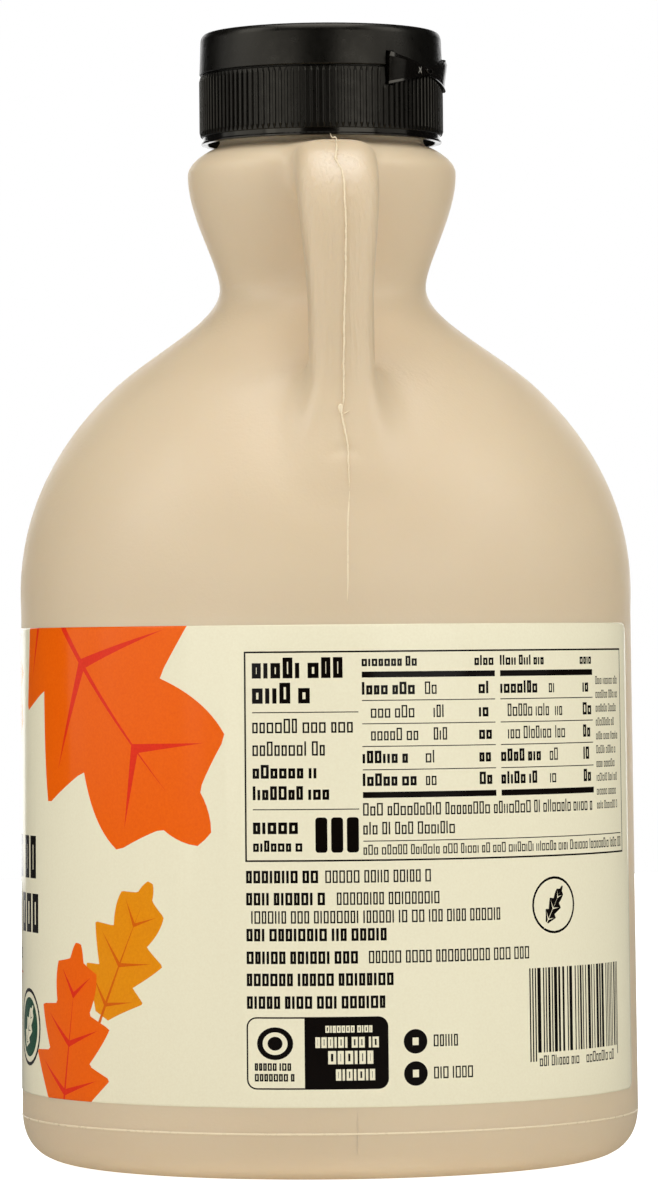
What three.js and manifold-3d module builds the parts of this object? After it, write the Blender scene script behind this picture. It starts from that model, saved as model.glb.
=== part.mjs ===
// Maple syrup jug: a blown plastic jug with a finger handle, a wrap-round label and a shut flip-top closure.
// Millimetres, +Z up. The origin is the middle of the ring that the jug stands on.
// The handle points to -Y, and angles about Z are counted from there towards +X.
import * as THREE from 'three';
import { ConvexGeometry } from 'three/addons/geometries/ConvexGeometry.js';
import { mergeVertices } from 'three/addons/utils/BufferGeometryUtils.js';
import Module from 'manifold-3d';

const wasm = await Module();
wasm.setup();

const { degToRad, lerp, smoothstep } = THREE.MathUtils;

// Gap kept between neighbouring pieces
const FIT_GAP = 0.3;

// Foot: a flat standing ring round a shallow pushed-up base, and the rounded corner outside it
const PUSH_UP = 2.2;
const PUSH_UP_R = 36.5;
const RING_R = 41.8;
const FOOT_R = 51.3;
const FOOT_CORNER_Z = 8.6;

// Label panel, sunk into the wall so that the label sits flush
const LABEL_BOTTOM_Z = 12.1;
const LABEL_TOP_Z = 88.7;
const PANEL_MARGIN = 0.5;
const PANEL_R = 50.4;
const PANEL_STEP = 0.6;

// Shoulder, waist and collar: each pull is the length of a Bezier handle at that point
const WALL = { r: 50.8, z: 90.6, pull: 3.6 };
const SHOULDER = { r: 35.5, z: 128.0, lean: 43.5, pullDown: 24.0, pullUp: 9.4 };
const WAIST = { r: 17.2, z: 145.0, pullDown: 5.5, pullUp: 4.1 };
const COLLAR = { r: 22.4, z: 164.0, pullDown: 7.1, pullUp: 2.4 };
const NECK_R = 17.0;
const NECK_ROOT_Z = 168.6;
const BODY_SEGMENTS = 64;
const BODY_CURVE_STEPS = 6;

// Finger handle: a short level arm from the collar, a bend, and a limb that leans out to the shoulder
const HANDLE_THICKNESS = 9.0;
const HANDLE_WIDE = 13.4;
const HANDLE_NARROW = 10.5;
const HANDLE_ARM_Z = 163.2;
const HANDLE_ARM_START = 12.5;
const HANDLE_BEND_START = 26.5;
const HANDLE_CORNER = 34.6;
const HANDLE_BEND_END_Z = 150.0;
const HANDLE_FOOT = { reach: 40.3, z: 114.0 };
const HANDLE_TAPER_Z = [139.0, 162.0];
const HANDLE_SQUARENESS = 3.4;
const HANDLE_SIDES = 20;
const HANDLE_STEPS = 26;

// Label: a thin sheet with rounded corners, open along the +X side
const LABEL_THICKNESS = 0.4;
const LABEL_END_ANGLE = 71.3;
const LABEL_GAP_CENTRE = 90.0;
const LABEL_CORNER = 2.5;
const LABEL_CORNER_STEPS = 3;

// Closure: lid, ribbed skirt, plain band and bottom lip on one axis
const LIP_Z = 169.1;
const LIP_R = 20.1;
const LIP_INNER_R = 19.0;
const LIP_HEIGHT = 0.3;
const BAND_R = 19.8;
const CAVITY_Z = 172.6;
const SKIRT_BOTTOM_Z = 170.3;
const SKIRT_CORE_R = 19.9;
const SHUT_LINE_Z = 180.6;
const SHUT_LINE_WIDTH = 0.3;
const SHUT_LINE_R = 19.7;
const LID_R = 20.2;
const LID_TOP_Z = 187.6;
const LID_EDGE = 1.7;
const LID_EDGE_STEPS = 4;
const CLOSURE_SEGMENTS = 72;

// Grip ribs round the skirt
const RIBS = 120;
const RIB_CREST_R = 20.4;
const RIB_ROOT_R = 20.05;
const RIB_INNER_R = 19.4;
const RIB_END_INSET = 0.05;

// Bow-tie hinge: two wings that grow from a narrow waist by the shut line
const HINGE_ANGLE = 56.0;
const HINGE_Z = 180.25;
const HINGE_WAIST_SPREAD = 2.5;
const HINGE_END_SPREAD = 27.0;
const HINGE_WAIST_HALF = 0.7;
const HINGE_END_HALF = 2.75;
const HINGE_WAIST_R = 20.5;
const HINGE_END_R = 21.0;
const HINGE_INNER_R = 19.0;
const HINGE_STEPS = 3;

// Thumb scallop in the skirt, opposite the hinge
const THUMB = { r: 21.0, z: 179.0, depth: 1.7, halfWidth: 7.0, halfHeight: 3.2 };

const jugPlastic = new THREE.MeshStandardMaterial({ color: 0xe0cba9, roughness: 0.42, metalness: 0 });
const labelPaper = new THREE.MeshStandardMaterial({ color: 0xe8e1c6, roughness: 0.5, metalness: 0 });
const closurePlastic = new THREE.MeshStandardMaterial({ color: 0x23211e, roughness: 0.38, metalness: 0 });

// A closed three.js geometry as a solid that can be joined and cut
function toSolid(geometry) {
  geometry.deleteAttribute('normal');
  geometry.deleteAttribute('uv');
  const merged = mergeVertices(geometry);
  const index = merged.index.array;
  const corners = [];
  for (let i = 0; i < index.length; i += 3) {
    const [a, b, c] = index.slice(i, i + 3);
    if (a !== b && b !== c && c !== a) corners.push(a, b, c);
  }
  const vertProperties = new Float32Array(merged.attributes.position.array);
  return new wasm.Manifold(new wasm.Mesh({ numProp: 3, vertProperties, triVerts: new Uint32Array(corners) }));
}

function toGeometry(solid) {
  const mesh = solid.getMesh();
  const geometry = new THREE.BufferGeometry();
  geometry.setAttribute('position', new THREE.BufferAttribute(mesh.vertProperties, 3));
  geometry.setIndex(new THREE.BufferAttribute(mesh.triVerts, 1));
  geometry.computeVertexNormals();
  return geometry;
}

// Turns an outline of (radius, height) points about Z, starting at the handle's side
function revolve(outline, segments) {
  return new THREE.LatheGeometry(outline, segments).rotateX(Math.PI / 2);
}

function polar(r, angle, z) {
  const a = degToRad(angle);
  return new THREE.Vector3(r * Math.sin(a), -r * Math.cos(a), z);
}

// Outline of the jug from the middle of its base to the middle of its neck's end
function bodyOutline() {
  const lean = degToRad(SHOULDER.lean);
  const along = (length) => [SHOULDER.r - length * Math.cos(lean), SHOULDER.z + length * Math.sin(lean)];
  const panelBottom = LABEL_BOTTOM_Z - PANEL_MARGIN;
  const panelTop = LABEL_TOP_Z + PANEL_MARGIN;
  const outline = new THREE.Path();
  outline.moveTo(0, PUSH_UP);
  outline.quadraticCurveTo(0.8 * PUSH_UP_R, PUSH_UP, PUSH_UP_R, 0);
  outline.lineTo(RING_R, 0);
  outline.quadraticCurveTo(FOOT_R, 0, FOOT_R, FOOT_CORNER_Z);
  outline.lineTo(FOOT_R, panelBottom - PANEL_STEP);
  outline.lineTo(PANEL_R, panelBottom);
  outline.lineTo(PANEL_R, panelTop);
  outline.lineTo(WALL.r, panelTop + PANEL_STEP);
  outline.lineTo(WALL.r, WALL.z);
  outline.bezierCurveTo(WALL.r, WALL.z + WALL.pull, ...along(-SHOULDER.pullDown), SHOULDER.r, SHOULDER.z);
  outline.bezierCurveTo(...along(SHOULDER.pullUp), WAIST.r, WAIST.z - WAIST.pullDown, WAIST.r, WAIST.z);
  outline.bezierCurveTo(
    WAIST.r, WAIST.z + WAIST.pullUp, COLLAR.r, COLLAR.z - COLLAR.pullDown, COLLAR.r, COLLAR.z);
  outline.bezierCurveTo(COLLAR.r, COLLAR.z + COLLAR.pullUp, NECK_R + 1, NECK_ROOT_Z, NECK_R, NECK_ROOT_Z);
  outline.lineTo(NECK_R, CAVITY_Z - FIT_GAP);
  outline.lineTo(0, CAVITY_Z - FIT_GAP);
  return outline.getPoints(BODY_CURVE_STEPS);
}

// Centre line of the handle in the plane x = 0, from inside the collar to inside the shoulder
function handleRoute() {
  const slope = (HANDLE_FOOT.reach - HANDLE_CORNER) / (HANDLE_ARM_Z - HANDLE_FOOT.z);
  const bendEnd = HANDLE_CORNER + slope * (HANDLE_ARM_Z - HANDLE_BEND_END_Z);
  const at = (reach, z) => new THREE.Vector3(0, -reach, z);
  const route = new THREE.CurvePath();
  route.add(new THREE.LineCurve3(at(HANDLE_ARM_START, HANDLE_ARM_Z), at(HANDLE_BEND_START, HANDLE_ARM_Z)));
  route.add(new THREE.QuadraticBezierCurve3(
    at(HANDLE_BEND_START, HANDLE_ARM_Z), at(HANDLE_CORNER, HANDLE_ARM_Z), at(bendEnd, HANDLE_BEND_END_Z)));
  route.add(new THREE.LineCurve3(at(bendEnd, HANDLE_BEND_END_Z), at(HANDLE_FOOT.reach, HANDLE_FOOT.z)));
  return route;
}

// Handle section: a squared-off ellipse, as thick as the handle and one unit wide across X
function handleSection() {
  const soften = (value) => Math.sign(value) * Math.abs(value) ** (2 / HANDLE_SQUARENESS) / 2;
  const points = [];
  for (let i = 0; i < HANDLE_SIDES; i++) {
    const turn = (2 * Math.PI * (i + 0.5)) / HANDLE_SIDES;
    points.push(new THREE.Vector2(HANDLE_THICKNESS * soften(Math.cos(turn)), soften(Math.sin(turn))));
  }
  return new THREE.Shape(points);
}

function makeHandle() {
  const geometry = new THREE.ExtrudeGeometry(handleSection(), {
    extrudePath: handleRoute(), steps: HANDLE_STEPS, bevelEnabled: false });
  const position = geometry.attributes.position;
  for (let i = 0; i < position.count; i++) {
    const width = lerp(HANDLE_NARROW, HANDLE_WIDE, smoothstep(position.getZ(i), ...HANDLE_TAPER_Z));
    position.setX(i, position.getX(i) * width);
  }
  return geometry;
}

function makeJug() {
  const body = toSolid(revolve(bodyOutline(), BODY_SEGMENTS));
  return toGeometry(body.add(toSolid(makeHandle())));
}

// Angles of the label's columns: close together at its rounded ends, else on the body's own facets
function labelColumns() {
  const start = 2 * LABEL_GAP_CENTRE - LABEL_END_ANGLE - 360;
  const cornerSpan = (LABEL_CORNER / PANEL_R) * THREE.MathUtils.RAD2DEG;
  const facet = 360 / BODY_SEGMENTS;
  const corner = [];
  for (let i = 0; i <= LABEL_CORNER_STEPS; i++) {
    corner.push(cornerSpan * (1 - Math.cos((Math.PI / 2) * (i / LABEL_CORNER_STEPS))));
  }
  const columns = corner.map((span) => start + span);
  for (let k = Math.ceil((start + cornerSpan) / facet); k * facet < LABEL_END_ANGLE - cornerSpan; k++) {
    columns.push(k * facet);
  }
  return [...columns, ...corner.map((span) => LABEL_END_ANGLE - span).reverse()];
}

function makeLabel() {
  const columns = labelColumns();
  const height = LABEL_TOP_Z - LABEL_BOTTOM_Z;
  const geometry = new THREE.BoxGeometry(1, LABEL_THICKNESS, height, columns.length - 1, 1, 1);
  const position = geometry.attributes.position;
  const innerR = PANEL_R + FIT_GAP;
  for (let i = 0; i < position.count; i++) {
    const angle = columns[Math.round((position.getX(i) + 0.5) * (columns.length - 1))];
    const fromEnd = degToRad(Math.min(angle - columns[0], columns[columns.length - 1] - angle)) * PANEL_R;
    const inCorner = Math.max(0, LABEL_CORNER - fromEnd);
    const setBack = LABEL_CORNER - Math.sqrt(LABEL_CORNER ** 2 - inCorner ** 2);
    const halfHeight = height / 2 - setBack;
    const r = position.getY(i) < 0 ? innerR + LABEL_THICKNESS : innerR;
    const z = (LABEL_BOTTOM_Z + LABEL_TOP_Z) / 2 + Math.sign(position.getZ(i)) * halfHeight;
    position.setXYZ(i, ...polar(r, angle, z));
  }
  geometry.deleteAttribute('normal');
  geometry.deleteAttribute('uv');
  const merged = mergeVertices(geometry);
  merged.computeVertexNormals();
  return merged;
}

// Outline of the closure from the roof of its cavity, round the outside, to the middle of the lid
function closureOutline() {
  const outline = new THREE.Path();
  outline.moveTo(0, CAVITY_Z);
  outline.lineTo(LIP_INNER_R, CAVITY_Z);
  outline.lineTo(LIP_INNER_R, LIP_Z);
  outline.lineTo(LIP_R, LIP_Z);
  outline.lineTo(LIP_R, LIP_Z + LIP_HEIGHT);
  outline.lineTo(BAND_R, LIP_Z + 2 * LIP_HEIGHT);
  outline.lineTo(BAND_R, SKIRT_BOTTOM_Z);
  outline.lineTo(SKIRT_CORE_R, SKIRT_BOTTOM_Z);
  outline.lineTo(SKIRT_CORE_R, SHUT_LINE_Z - SHUT_LINE_WIDTH / 2);
  outline.lineTo(SHUT_LINE_R, SHUT_LINE_Z - SHUT_LINE_WIDTH / 2);
  outline.lineTo(SHUT_LINE_R, SHUT_LINE_Z + SHUT_LINE_WIDTH / 2);
  outline.lineTo(LID_R, SHUT_LINE_Z + SHUT_LINE_WIDTH / 2);
  outline.lineTo(LID_R, LID_TOP_Z - LID_EDGE);
  outline.quadraticCurveTo(LID_R, LID_TOP_Z, LID_R - LID_EDGE, LID_TOP_Z);
  outline.lineTo(0, LID_TOP_Z);
  return outline.getPoints(LID_EDGE_STEPS);
}

// Ring of pointed ribs, extruded up the skirt
function makeRibs() {
  const points = [];
  for (let i = 0; i < 2 * RIBS; i++) {
    const r = i % 2 ? RIB_ROOT_R : RIB_CREST_R;
    const turn = (Math.PI * i) / RIBS;
    points.push(new THREE.Vector2(r * Math.cos(turn), r * Math.sin(turn)));
  }
  const ring = new THREE.Shape(points);
  ring.holes.push(new THREE.Path().absarc(0, 0, RIB_INNER_R, 0, 2 * Math.PI, true));
  const bottom = SKIRT_BOTTOM_Z + RIB_END_INSET;
  const top = SHUT_LINE_Z - SHUT_LINE_WIDTH / 2 - RIB_END_INSET;
  const depth = top - bottom;
  const curveSegments = CLOSURE_SEGMENTS / 2;
  return new THREE.ExtrudeGeometry(ring, { depth, bevelEnabled: false, curveSegments }).translate(0, 0, bottom);
}

// One wing of the bow tie. side is -1 for the wing nearer the handle and 1 for the other
function makeHingeWing(side) {
  const points = [];
  for (let i = 0; i <= HINGE_STEPS; i++) {
    const t = i / HINGE_STEPS;
    const angle = HINGE_ANGLE + side * lerp(-HINGE_WAIST_SPREAD, HINGE_END_SPREAD, t);
    const half = lerp(HINGE_WAIST_HALF, HINGE_END_HALF, t);
    for (const z of [HINGE_Z - half, HINGE_Z + half]) {
      points.push(polar(lerp(HINGE_WAIST_R, HINGE_END_R, t), angle, z));
      points.push(polar(HINGE_INNER_R, angle, z));
    }
  }
  return new ConvexGeometry(points);
}

function makeThumbScallop() {
  const geometry = new THREE.SphereGeometry(1, 20, 10);
  geometry.scale(THUMB.halfWidth, THUMB.depth, THUMB.halfHeight);
  geometry.rotateZ(degToRad(HINGE_ANGLE + 180));
  return geometry.translate(...polar(THUMB.r, HINGE_ANGLE + 180, THUMB.z));
}

function makeClosure() {
  let solid = toSolid(revolve(closureOutline(), CLOSURE_SEGMENTS));
  solid = solid.add(toSolid(makeRibs()));
  solid = solid.subtract(toSolid(makeThumbScallop()));
  for (const side of [-1, 1]) solid = solid.add(toSolid(makeHingeWing(side)));
  return toGeometry(solid);
}

function namedMesh(name, geometry, material) {
  const mesh = new THREE.Mesh(geometry, material);
  mesh.name = name;
  return mesh;
}

const syrupJug = new THREE.Group();
syrupJug.add(namedMesh('jug', makeJug(), jugPlastic));
syrupJug.add(namedMesh('label', makeLabel(), labelPaper));
syrupJug.add(namedMesh('closure', makeClosure(), closurePlastic));

export default syrupJug;
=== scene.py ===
"""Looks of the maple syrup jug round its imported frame. Sizes are in millimetres, and metres once in a mesh.
+Z is up and the handle points to -Y. Angles about Z count from there towards +X, in degrees."""
import math
import random

import bmesh
import bpy
import numpy as np
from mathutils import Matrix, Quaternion, Vector
from mathutils.geometry import delaunay_2d_cdt


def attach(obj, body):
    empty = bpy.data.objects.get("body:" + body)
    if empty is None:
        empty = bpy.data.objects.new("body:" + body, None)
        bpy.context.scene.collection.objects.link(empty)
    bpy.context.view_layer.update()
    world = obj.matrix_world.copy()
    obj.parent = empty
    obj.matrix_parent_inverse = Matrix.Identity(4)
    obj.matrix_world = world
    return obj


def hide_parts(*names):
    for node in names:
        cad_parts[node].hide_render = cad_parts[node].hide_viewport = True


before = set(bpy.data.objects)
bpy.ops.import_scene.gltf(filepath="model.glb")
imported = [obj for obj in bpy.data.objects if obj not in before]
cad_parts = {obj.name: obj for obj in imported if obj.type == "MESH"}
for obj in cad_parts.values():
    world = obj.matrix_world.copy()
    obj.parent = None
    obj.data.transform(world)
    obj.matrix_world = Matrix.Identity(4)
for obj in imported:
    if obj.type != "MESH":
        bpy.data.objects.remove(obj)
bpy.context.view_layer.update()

MM = 0.001

# Jug outline, as in the frame: foot, wall, shoulder, waist, collar and neck
PUSH_UP = 2.2
PUSH_UP_R = 36.5
RING_R = 41.8
FOOT_R = 51.3
FOOT_CORNER_Z = 8.6
WALL_R, WALL_Z, WALL_PULL = 50.8, 90.6, 3.6
SHOULDER_R, SHOULDER_Z, SHOULDER_LEAN = 35.5, 128.0, 43.5
SHOULDER_PULL_DOWN, SHOULDER_PULL_UP = 24.0, 9.4
WAIST_R, WAIST_Z, WAIST_PULL_DOWN, WAIST_PULL_UP = 17.2, 145.0, 5.5, 4.1
COLLAR_R, COLLAR_Z, COLLAR_PULL_DOWN, COLLAR_PULL_UP = 22.4, 164.0, 7.1, 2.4
NECK_R, NECK_ROOT_Z, NECK_TOP_Z = 17.0, 168.6, 172.3
SKIN_VOXEL = 0.82

# Handle: its centre line runs out from the collar, round a bend and down to the shoulder
HANDLE_THICKNESS = 9.0
HANDLE_WIDE, HANDLE_NARROW = 13.4, 10.5
HANDLE_TAPER_Z = (139.0, 162.0)
HANDLE_ARM_Z, HANDLE_ARM_START, HANDLE_BEND_START = 163.2, 12.5, 26.5
HANDLE_CORNER, HANDLE_BEND_END_Z = 34.6, 150.0
HANDLE_FOOT, HANDLE_FOOT_Z = 40.3, 114.0
HANDLE_SQUARENESS = 3.4
HANDLE_FILLET, HANDLE_FOOT_FILLET = 2.2, 6.5
FILLET_CHANGE_Z = (122.0, 140.0)

# The small dent in the shoulder, and the raised line round the foot
DENT_X, DENT_Z, DENT_BOW, DENT_DEPTH = -0.2, 116.7, 0.13, 0.24
DENT_HALF_WIDTH, DENT_HALF_HEIGHT = 2.4, 0.95
DENT_PUSH = (0, 0.8, -0.6)
FOOT_LINE_Z = 7.9

# Closure
LIP_Z, LIP_R, LIP_INNER_R, BAND_R = 169.1, 20.1, 19.0, 19.8
SKIRT_BOTTOM_Z, SKIRT_R, SHUT_LINE_Z, CAVITY_Z = 170.3, 20.02, 180.6, 172.6
SHUT_LINE_HALF, SHUT_LINE_R = 0.13, 19.6
LID_R, LID_TOP_R, LID_TOP_Z, LID_EDGE = 20.3, 20.1, 187.6, 1.4
RIBS, RIB_HEIGHT, RIB_WIDTH = 120, 0.36, 0.58
HINGE_ANGLE, HINGE_SPREAD, HINGE_Z = 56.0, 28.0, 180.25
HINGE_WAIST_HALF, HINGE_END_HALF = 0.72, 2.75
HINGE_SOFTNESS = 3.0
HINGE_CROSS_ANGLE = HINGE_ANGLE - 8.0
THUMB_ANGLE, THUMB_R, THUMB_Z = HINGE_ANGLE + 180, 21.0, 179.0
THUMB_HALF_SIZE = (7.0, 1.7, 3.2)

# Label: u runs round the wall from the handle's plane, v up from the label's bottom edge
LABEL_BOTTOM_Z, LABEL_TOP_Z = 12.1, 88.7
LABEL_HEIGHT = LABEL_TOP_Z - LABEL_BOTTOM_Z
LABEL_ROLL_R = 51.05
LABEL_END_ANGLE, LABEL_GAP_CENTRE = 71.3, 90.0
LABEL_CORNER = 2.5
LABEL_PROUD, LABEL_SUNK = 0.10, 0.05
LABEL_EDGE, LABEL_EDGE_FALL = 0.3, 0.07


def mix(a, b, t):
    return a + (b - a) * t


def ease(x, low, high):
    """0 below low, 1 above high, with a smooth rise between."""
    t = np.clip((x - low) / (high - low), 0, 1)
    return t * t * (3 - 2 * t)


def polar(r, angle, z):
    a = math.radians(angle)
    return Vector((r * math.sin(a), -r * math.cos(a), z))


def srgb(red, green, blue):
    """A screen colour of 0 to 255 a channel as linear RGBA."""
    linear = [((c / 255 + 0.055) / 1.055) ** 2.4 for c in (red, green, blue)]
    return (*linear, 1.0)


# Meshes

def linked(name, data):
    """An object in the scene that holds a mesh, a light or a camera."""
    obj = bpy.data.objects.new(name, data)
    bpy.context.collection.objects.link(obj)
    return obj


def new_object(name, verts, faces, smooth=True):
    """A mesh object from points in millimetres."""
    mesh = bpy.data.meshes.new(name)
    mesh.from_pydata([tuple(c * MM for c in v) for v in verts], [], [tuple(f) for f in faces])
    mesh.validate()
    if smooth:
        mesh.shade_smooth()
    return linked(name, mesh)


def from_bmesh(name, bm):
    """A mesh object from a bmesh in metres."""
    mesh = bpy.data.meshes.new(name)
    bm.to_mesh(mesh)
    bm.free()
    return linked(name, mesh)


def clean(obj, sharp=None):
    """Merges doubles and turns every face outwards. sharp keeps edges over that angle crisp."""
    bm = bmesh.new()
    bm.from_mesh(obj.data)
    bmesh.ops.remove_doubles(bm, verts=bm.verts, dist=0.002 * MM)
    bmesh.ops.dissolve_degenerate(bm, edges=bm.edges, dist=0.001 * MM)
    bmesh.ops.recalc_face_normals(bm, faces=bm.faces)
    if sharp is not None:
        for edge in bm.edges:
            edge.smooth = len(edge.link_faces) == 2 and edge.calc_face_angle() < math.radians(sharp)
    bm.to_mesh(obj.data)
    bm.free()
    return obj


def baked(obj):
    """The object with its modifiers made real, under the same name."""
    graph = bpy.context.evaluated_depsgraph_get()
    mesh = bpy.data.meshes.new_from_object(obj.evaluated_get(graph), depsgraph=graph)
    obj.modifiers.clear()
    old, obj.data = obj.data, mesh
    name = old.name
    bpy.data.meshes.remove(old)
    mesh.name = name
    return obj


def lathe(name, outline, segments, sharp=35):
    """Turns an outline of (radius, height) points, from axis to axis, about Z."""
    verts, faces, rings = [], [], []
    for r, z in outline:
        count = segments if r > 1e-6 else 1
        rings.append(range(len(verts), len(verts) + count))
        verts += [polar(r, 360 * k / count, z) for k in range(count)]
    for low, high in zip(rings, rings[1:]):
        for k in range(segments):
            n = (k + 1) % segments
            a, b = low[k % len(low)], low[n % len(low)]
            c, d = high[n % len(high)], high[k % len(high)]
            face = list(dict.fromkeys((a, b, c, d)))
            if len(face) > 2:
                faces.append(face)
    return clean(new_object(name, verts, faces), sharp)


def tube_faces(rows, sides, closed=False):
    """Faces round rows of points, with a cap on each end of an open tube."""
    faces = []
    for i in range(rows if closed else rows - 1):
        n = (i + 1) % rows
        for k in range(sides):
            m = (k + 1) % sides
            faces.append((i * sides + k, i * sides + m, n * sides + m, n * sides + k))
    if not closed:
        faces += [tuple(row * sides + k for k in range(sides)) for row in (0, rows - 1)]
    return faces


def tube(name, path, normals, half_width, height, sides=8, closed=False, swell=None):
    """A low bead along a path on a surface, half sunk in it. normals point out of the surface.
    swell scales the bead at each point."""
    count = len(path)
    verts = []
    for i, (point, normal) in enumerate(zip(path, normals)):
        before = path[i - 1] if closed or i else path[0]
        after = path[(i + 1) % count] if closed or i + 1 < count else path[-1]
        side = (after - before).cross(normal).normalized()
        shrink = swell[i] if swell else 1.0
        if not closed:
            shrink *= min(1.0, 0.15 + min(i, count - 1 - i) / 4)
        for k in range(sides):
            turn = 2 * math.pi * k / sides
            verts.append(point + side * (math.cos(turn) * half_width * shrink)
                         + normal * (math.sin(turn) * height * shrink))
    return clean(new_object(name, verts, tube_faces(count, sides, closed)))


def boolean_cut(obj, cutter):
    cut = obj.modifiers.new("cut", "BOOLEAN")
    cut.operation = "DIFFERENCE"
    cut.solver = "EXACT"
    cut.object = cutter
    baked(obj)
    bpy.data.objects.remove(cutter)
    return clean(obj, 30)


# Curves in the plane

def cubic(p0, p1, p2, p3, steps=80):
    t = np.linspace(0, 1, steps + 1)[1:, None]
    p0, p1, p2, p3 = (np.array(p, float) for p in (p0, p1, p2, p3))
    return (1 - t) ** 3 * p0 + 3 * (1 - t) ** 2 * t * p1 + 3 * (1 - t) * t ** 2 * p2 + t ** 3 * p3


def quadratic(p0, p1, p2, steps=60):
    p0, p1, p2 = (np.array(p, float) for p in (p0, p1, p2))
    return cubic(p0, mix(p0, p1, 2 / 3), mix(p2, p1, 2 / 3), p2, steps)


def resample(points, step):
    """The same polyline with points about a step apart."""
    points = np.vstack([np.atleast_2d(p) for p in points])
    length = np.concatenate([[0], np.cumsum(np.linalg.norm(np.diff(points, axis=0), axis=1))])
    at = np.linspace(0, length[-1], int(length[-1] / step) + 1)
    return np.stack([np.interp(at, length, points[:, i]) for i in (0, 1)], 1)


def jug_outline():
    """(radius, height) from the middle of the base to the middle of the neck's end."""
    lean = math.radians(SHOULDER_LEAN)

    def along(length):
        return (SHOULDER_R - length * math.cos(lean), SHOULDER_Z + length * math.sin(lean))

    shoulder, waist, collar = (SHOULDER_R, SHOULDER_Z), (WAIST_R, WAIST_Z), (COLLAR_R, COLLAR_Z)
    wall, neck = (WALL_R, WALL_Z), (NECK_R, NECK_ROOT_Z)
    return [
        (0, PUSH_UP),
        quadratic((0, PUSH_UP), (0.8 * PUSH_UP_R, PUSH_UP), (PUSH_UP_R, 0)),
        (RING_R, 0),
        quadratic((RING_R, 0), (FOOT_R, 0), (FOOT_R, FOOT_CORNER_Z)),
        wall,
        cubic(wall, (WALL_R, WALL_Z + WALL_PULL), along(-SHOULDER_PULL_DOWN), shoulder),
        cubic(shoulder, along(SHOULDER_PULL_UP), (WAIST_R, WAIST_Z - WAIST_PULL_DOWN), waist),
        cubic(waist, (WAIST_R, WAIST_Z + WAIST_PULL_UP), (COLLAR_R, COLLAR_Z - COLLAR_PULL_DOWN), collar),
        cubic(collar, (COLLAR_R, COLLAR_Z + COLLAR_PULL_UP), (NECK_R + 1, NECK_ROOT_Z), neck),
        (NECK_R, NECK_TOP_Z),
        (0, NECK_TOP_Z),
    ]


def handle_route():
    """(reach, height) along the handle's centre line."""
    slope = (HANDLE_FOOT - HANDLE_CORNER) / (HANDLE_ARM_Z - HANDLE_FOOT_Z)
    bend_end = (HANDLE_CORNER + slope * (HANDLE_ARM_Z - HANDLE_BEND_END_Z), HANDLE_BEND_END_Z)
    bend_start = (HANDLE_BEND_START, HANDLE_ARM_Z)
    return [
        (HANDLE_ARM_START, HANDLE_ARM_Z),
        bend_start,
        quadratic(bend_start, (HANDLE_CORNER, HANDLE_ARM_Z), bend_end),
        (HANDLE_FOOT, HANDLE_FOOT_Z),
    ]


OUTLINE = resample(jug_outline(), 0.4)
ROUTE = resample(handle_route(), 0.5)


def wall_radius(z):
    """Radius of the wall between the foot and the shoulder."""
    return mix(FOOT_R, WALL_R, (z - FOOT_CORNER_Z) / (WALL_Z - FOOT_CORNER_Z))


# Jug body: a surface round the outline and the handle, with a soft fillet where they meet

def nearest_on(path, points):
    """Nearest point of a polyline to each point, and the polyline's direction there."""
    step = np.diff(path, axis=0)
    span = (step ** 2).sum(1)
    foot, way = np.empty_like(points), np.empty_like(points)
    for part in np.array_split(np.arange(len(points)), len(points) // 6000 + 1):
        p = points[part]
        near = ((p[:, None, :] - path[None, :, :]) ** 2).sum(2).argmin(1)
        best = np.full(len(p), np.inf)
        for seg in (np.clip(near - 1, 0, len(step) - 1), np.clip(near, 0, len(step) - 1)):
            t = np.clip(((p - path[seg]) * step[seg]).sum(1) / span[seg], 0, 1)
            q = path[seg] + t[:, None] * step[seg]
            gap = ((p - q) ** 2).sum(1)
            closer = gap < best
            best[closer] = gap[closer]
            foot[part[closer]] = q[closer]
            way[part[closer]] = (step[seg] / np.sqrt(span[seg])[:, None])[closer]
    return foot, way


def body_distance(p):
    flat = np.stack([np.hypot(p[:, 0], p[:, 1]), p[:, 2]], 1)
    foot, way = nearest_on(OUTLINE, flat)
    off = flat - foot
    return off[:, 0] * way[:, 1] - off[:, 1] * way[:, 0]


def handle_half_width(z):
    return mix(HANDLE_NARROW, HANDLE_WIDE, ease(z, *HANDLE_TAPER_Z)) / 2


def handle_distance(p):
    flat = np.stack([-p[:, 1], p[:, 2]], 1)
    foot, way = nearest_on(ROUTE, flat)
    off = flat - foot
    along = np.abs((off * way).sum(1))
    across = np.abs(off[:, 0] * way[:, 1] - off[:, 1] * way[:, 0])
    side = np.abs(p[:, 0])
    half = HANDLE_THICKNESS / 2
    n = HANDLE_SQUARENESS
    wide = handle_half_width(p[:, 2])
    ratio = ((across / half) ** n + (along / half) ** n + (side / wide) ** n) ** (1 / n)
    return np.sqrt(across ** 2 + along ** 2 + side ** 2) * (1 - 1 / np.maximum(ratio, 0.05))


def jug_distance(p):
    a, b = body_distance(p), handle_distance(p)
    fillet = mix(HANDLE_FOOT_FILLET, HANDLE_FILLET, ease(p[:, 2], *FILLET_CHANGE_Z))
    near = np.maximum(fillet - np.abs(a - b), 0) / fillet
    return np.minimum(a, b) - near ** 2 * fillet / 4


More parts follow.
